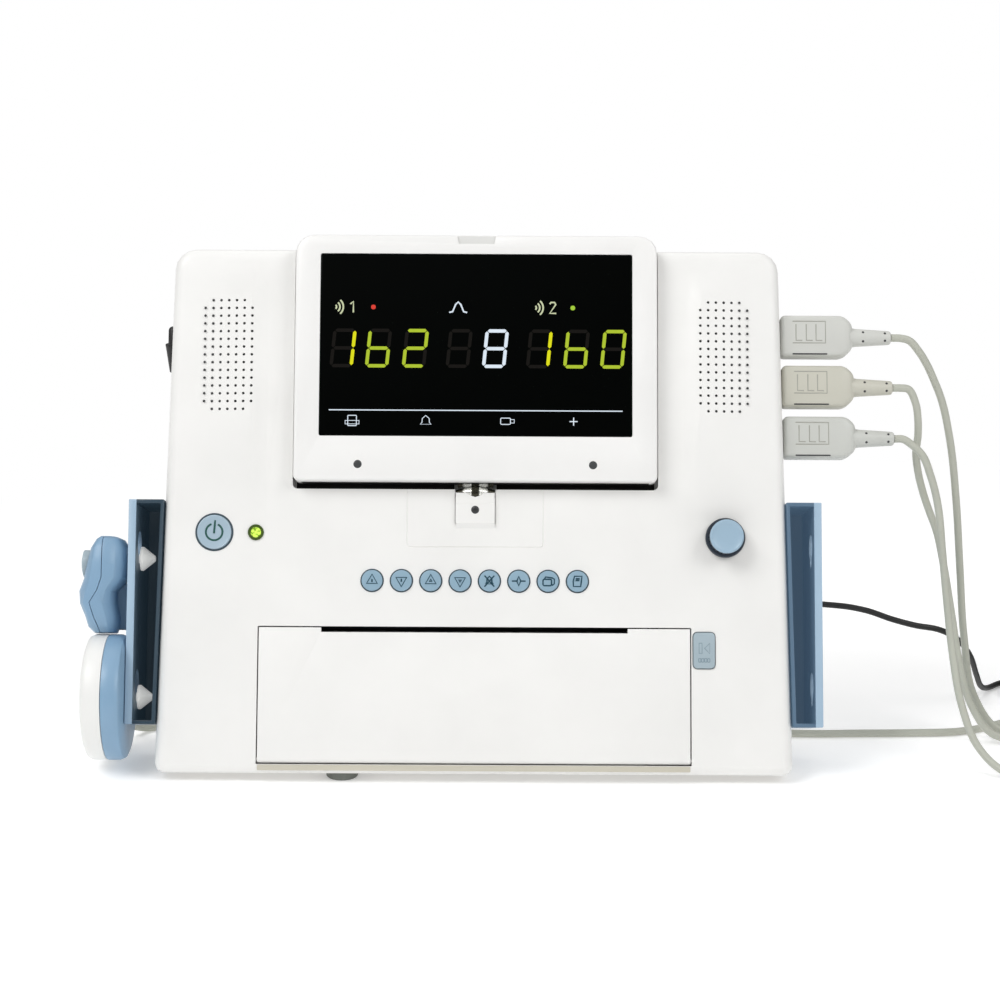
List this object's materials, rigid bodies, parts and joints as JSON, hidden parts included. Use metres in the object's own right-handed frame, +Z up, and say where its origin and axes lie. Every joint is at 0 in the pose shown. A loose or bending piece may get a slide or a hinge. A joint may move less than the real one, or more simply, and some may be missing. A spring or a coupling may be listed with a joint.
{
  "type": "cardiotocograph",
  "caption": "Leaning fetal monitor with a fold-up display, a strip printer behind a paper door, side cradles, a hanging probe and event marker, grey probe leads and a black supply lead.",
  "frame": {"origin": "centre of the bounding box of everything but the leads, on the table", "axes": "+X is to the right as seen from the front, +Y is to the back, +Z is up; the front of the console faces -Y"},
  "size_m": [0.674, 0.1851, 0.2472],
  "materials": {
    "housing_white": "fine matte moulding",
    "bezel_white": "smooth satin",
    "black_glass": "polished, tinted black",
    "dark_plastic": "matte",
    "chrome": "polished",
    "steel": "brushed",
    "key_blue": "satin",
    "button_grey": "satin",
    "light_green": "clear lens",
    "knob_blue": "satin",
    "cradle_blue": "satin",
    "probe_blue": "satin",
    "probe_white": "smooth",
    "circuit_green": "solder mask",
    "gear_white": "acetal",
    "paper": "uncoated",
    "roller_rubber": "ground rubber",
    "foot_rubber": "matte",
    "battery_blue": "shrink film",
    "connector_grey": "matte",
    "lead_grey": "soft jacket",
    "lead_black": "soft jacket"
  },
  "bodies": {
    "console": {"front_housing": "housing_white", "rear_housing": "housing_white", "base_plate": "housing_white", "front_foot": "foot_rubber", "paper_tray": "dark_plastic", "paper_stack": "paper", "printer_frame": "steel", "print_head": "dark_plastic", "hinge_pin": "steel", "power_light": "light_green", "encoder": "dark_plastic", "button_board": "circuit_green", "speaker_left": "dark_plastic", "speaker_right": "dark_plastic", "main_board": "circuit_green", "battery_pack": "battery_blue", "lead_sockets": "dark_plastic", "supply_socket": "dark_plastic", "cradle_left": "cradle_blue", "cradle_right": "cradle_blue", "spare_probe_1": "probe_blue", "spare_probe_2": "probe_blue", "connector_a": "connector_grey", "connector_b": "connector_grey", "connector_c": "connector_grey", "supply_plug": "lead_black", "supply_adapter": "lead_black", "lead_a_out": "lead_grey", "lead_a_coil": "lead_grey", "lead_a_back": "lead_grey", "lead_b_out": "lead_grey", "lead_b_coil": "lead_grey", "lead_c_out": "lead_grey", "lead_c_coil": "lead_grey", "supply_lead_out": "lead_black", "supply_lead_coil": "lead_black"},
    "display": {"display_bezel": "bezel_white", "display_back": "bezel_white", "display_window": "black_glass", "lcd_panel": "dark_plastic", "hinge_barrel": "chrome"},
    "door": {"paper_door": "housing_white"},
    "release": {"door_release": "button_grey"},
    "platen": {"platen_roller": "roller_rubber"},
    "pinion": {"motor_pinion": "gear_white"},
    "power": {"power_button": "button_grey"},
    "button_1": {"key_1": "key_blue"},
    "button_2": {"key_2": "key_blue"},
    "button_3": {"key_3": "key_blue"},
    "button_4": {"key_4": "key_blue"},
    "button_5": {"key_5": "key_blue"},
    "button_6": {"key_6": "key_blue"},
    "button_7": {"key_7": "key_blue"},
    "button_8": {"key_8": "key_blue"},
    "dial": {"knob": "knob_blue"},
    "probe": {"probe_shell": "probe_blue", "probe_face": "probe_white"},
    "marker": {"marker_rear": "probe_blue", "marker_front": "probe_blue"},
    "marker_push": {"marker_button": "button_grey"}
  },
  "joints": [
    {"name": "display_tilt", "type": "hinge", "parent": "console", "child": "display", "pos_m": [-0.15045, -0.01824, 0.12948], "axis": [1, 0, 0], "range_deg": [0, 90]},
    {"name": "door_swing", "type": "hinge", "parent": "console", "child": "door", "pos_m": [-0.15045, -0.05659, 0.01082], "axis": [1, 0, 0], "range_deg": [0, 85]},
    {"name": "release_press", "type": "slide", "parent": "console", "child": "release", "axis": [0, 0.9511, -0.309], "range_m": [0, 0.0015], "stiffness_N_per_m": 30, "springref_m": -0.002},
    {"name": "platen_turn", "type": "hinge", "parent": "console", "child": "platen", "pos_m": [-0.15045, -0.02425, 0.07055], "axis": [1, 0, 0], "continuous": true},
    {"name": "pinion_turn", "type": "hinge", "parent": "console", "child": "pinion", "pos_m": [-0.15045, -0.01303, 0.08066], "axis": [1, 0, 0], "continuous": true},
    {"name": "power_press", "type": "slide", "parent": "console", "child": "power", "axis": [0, 0.9511, -0.309], "range_m": [0, 0.001], "stiffness_N_per_m": 25, "springref_m": -0.002},
    {"name": "key_1_press", "type": "slide", "parent": "console", "child": "button_1", "axis": [0, 0.9511, -0.309], "range_m": [0, 0.0008], "stiffness_N_per_m": 20, "springref_m": -0.002},
    {"name": "key_2_press", "type": "slide", "parent": "console", "child": "button_2", "axis": [0, 0.9511, -0.309], "range_m": [0, 0.0008], "stiffness_N_per_m": 20, "springref_m": -0.002},
    {"name": "key_3_press", "type": "slide", "parent": "console", "child": "button_3", "axis": [0, 0.9511, -0.309], "range_m": [0, 0.0008], "stiffness_N_per_m": 20, "springref_m": -0.002},
    {"name": "key_4_press", "type": "slide", "parent": "console", "child": "button_4", "axis": [0, 0.9511, -0.309], "range_m": [0, 0.0008], "stiffness_N_per_m": 20, "springref_m": -0.002},
    {"name": "key_5_press", "type": "slide", "parent": "console", "child": "button_5", "axis": [0, 0.9511, -0.309], "range_m": [0, 0.0008], "stiffness_N_per_m": 20, "springref_m": -0.002},
    {"name": "key_6_press", "type": "slide", "parent": "console", "child": "button_6", "axis": [0, 0.9511, -0.309], "range_m": [0, 0.0008], "stiffness_N_per_m": 20, "springref_m": -0.002},
    {"name": "key_7_press", "type": "slide", "parent": "console", "child": "button_7", "axis": [0, 0.9511, -0.309], "range_m": [0, 0.0008], "stiffness_N_per_m": 20, "springref_m": -0.002},
    {"name": "key_8_press", "type": "slide", "parent": "console", "child": "button_8", "axis": [0, 0.9511, -0.309], "range_m": [0, 0.0008], "stiffness_N_per_m": 20, "springref_m": -0.002},
    {"name": "dial_turn", "type": "hinge", "parent": "console", "child": "dial", "pos_m": [-0.03345, -0.02613, 0.11007], "axis": [0, -0.9511, 0.309], "continuous": true},
    {"name": "probe_lift", "type": "slide", "parent": "console", "child": "probe", "axis": [0, 0.309, 0.9511], "range_m": [0, 0.0068]},
    {"name": "marker_lift", "type": "slide", "parent": "console", "child": "marker", "axis": [0, 0.309, 0.9511], "range_m": [0, 0.0068]},
    {"name": "marker_press", "type": "slide", "parent": "marker", "child": "marker_push", "axis": [1, 0, 0], "range_m": [0, 0.0012], "stiffness_N_per_m": 20, "springref_m": -0.002}
  ],
  "couplings": [
    {"joint": "pinion_turn", "follows": "platen_turn", "ratio": -2},
    {"joint": "marker_lift", "follows": "probe_lift", "ratio": 1}
  ]
}
